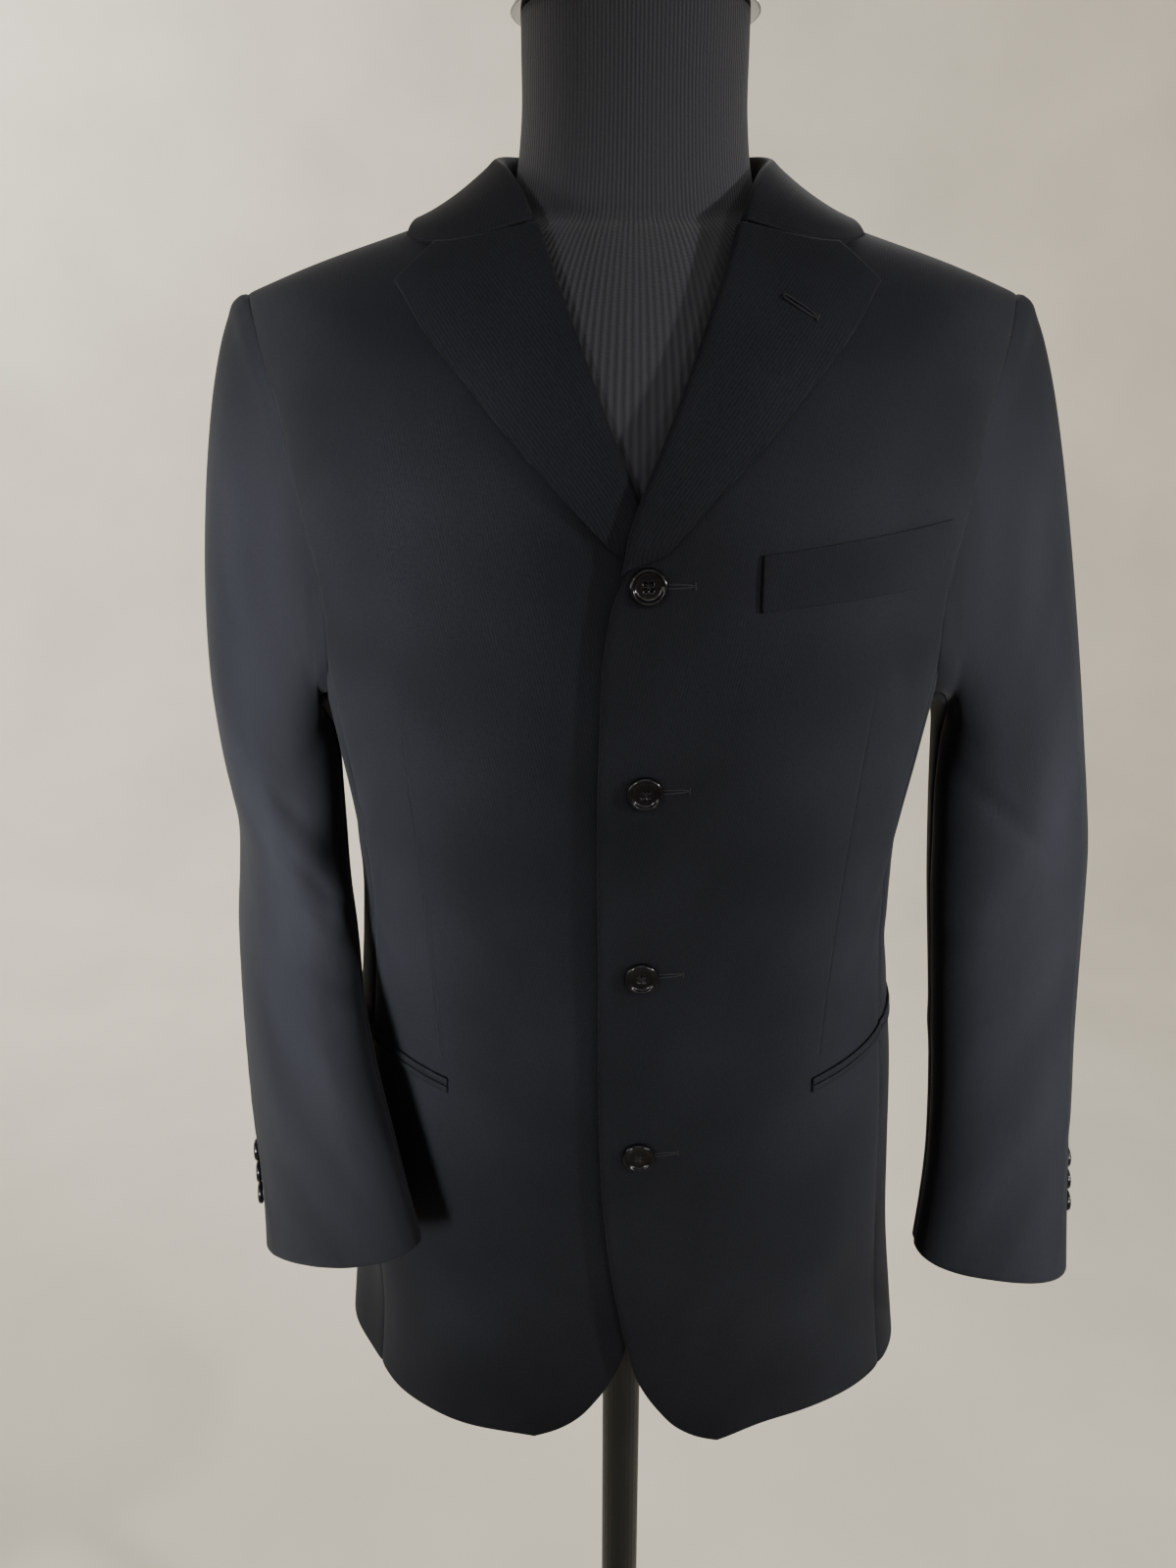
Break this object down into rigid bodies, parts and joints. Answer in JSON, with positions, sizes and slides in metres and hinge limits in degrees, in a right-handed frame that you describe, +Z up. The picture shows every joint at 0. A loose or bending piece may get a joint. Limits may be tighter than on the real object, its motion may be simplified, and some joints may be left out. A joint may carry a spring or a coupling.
{
  "type": "blazer on dress form",
  "caption": "Blazer with notched lapels, welt pocket and slanted jetted pockets, on a limbless dress form with a round-based stand.",
  "frame": {"origin": "centre of the stand base's underside, on the floor", "axes": "+Z up the stand's pole, -Y out of the blazer's front, +X towards the wearer's left"},
  "size_m": [0.5767, 0.36, 1.6043],
  "materials": {
    "worsted": "soft matte fine worsted",
    "button_resin": "glossy",
    "jersey": "matte ribbed jersey",
    "gloss_cap": "gloss",
    "painted_steel": "satin"
  },
  "bodies": {
    "root": {"back_left": "worsted", "back_right": "worsted", "button_1": "button_resin", "button_2": "button_resin", "button_3": "button_resin", "button_4": "button_resin", "chest_welt": "worsted", "collar": "worsted", "cuff_button_left_1": "button_resin", "cuff_button_left_2": "button_resin", "cuff_button_left_3": "button_resin", "cuff_button_right_1": "button_resin", "cuff_button_right_2": "button_resin", "cuff_button_right_3": "button_resin", "form_cap": "gloss_cap", "form_torso": "jersey", "front_left": "worsted", "front_right": "worsted", "jet_lower_left": "worsted", "jet_lower_right": "worsted", "jet_upper_left": "worsted", "jet_upper_right": "worsted", "lapel_left": "worsted", "lapel_right": "worsted", "side_left": "worsted", "side_right": "worsted", "sleeve_top_left": "worsted", "sleeve_top_right": "worsted", "sleeve_under_left": "worsted", "sleeve_under_right": "worsted", "stand_base": "painted_steel", "stand_pole": "painted_steel"}
  },
  "joints": []
}
